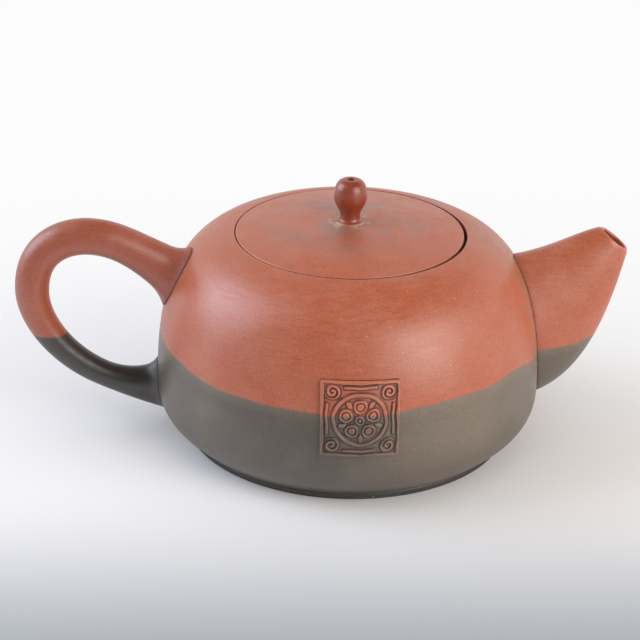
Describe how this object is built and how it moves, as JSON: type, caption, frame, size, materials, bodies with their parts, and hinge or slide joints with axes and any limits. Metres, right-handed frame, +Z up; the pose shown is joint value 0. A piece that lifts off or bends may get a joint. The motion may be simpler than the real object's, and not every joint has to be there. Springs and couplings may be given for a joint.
{
  "type": "teapot",
  "caption": "Squat round unglazed clay teapot, two-tone, with flush domed lid and bead knob, beak spout, ring handle, square relief plaque and pierced strainer",
  "frame": {"origin": "the centre of the foot ring, on the surface the pot stands on", "axes": "+X runs from the handle to the spout, -Y faces the plaque, +Z is up; metres"},
  "size_m": [0.1819, 0.1161, 0.079],
  "materials": {
    "body_clay": "unglazed burnished stoneware, red-brown above a level line, dark grey-brown slip below it",
    "shoulder_clay": "unglazed burnished red-brown stoneware",
    "inner_clay": "unglazed red-brown stoneware, matt",
    "base_clay": "unglazed stoneware under dark grey-brown slip, matt",
    "foot_clay": "unglazed stoneware under dark grey-brown slip, rubbed along the standing edge",
    "spout_clay": "unglazed burnished stoneware, red-brown with a dark slip below",
    "handle_clay": "unglazed burnished stoneware, red-brown with a dark slip below",
    "plaque_clay": "pressed stoneware relief, dark slip worn back to red on its edges",
    "lid_clay": "unglazed burnished red-brown stoneware",
    "lid_flange_clay": "unglazed red-brown stoneware, matt",
    "knob_clay": "unglazed red-brown stoneware, rubbed to a soft sheen"
  },
  "bodies": {
    "pot": {"body_wall": "body_clay", "shoulder_disc": "shoulder_clay", "seat_ring": "inner_clay", "base_disc": "base_clay", "foot_ring": "foot_clay", "spout": "spout_clay", "strainer": "inner_clay", "handle": "handle_clay", "plaque": "plaque_clay"},
    "lid": {"lid_disc": "lid_clay", "lid_flange": "lid_flange_clay", "knob_collar": "knob_clay", "knob": "knob_clay"}
  },
  "joints": [
    {"name": "lid_lift", "type": "slide", "parent": "pot", "child": "lid", "axis": [0, 0, 1], "range_m": [0, 0.06]}
  ]
}
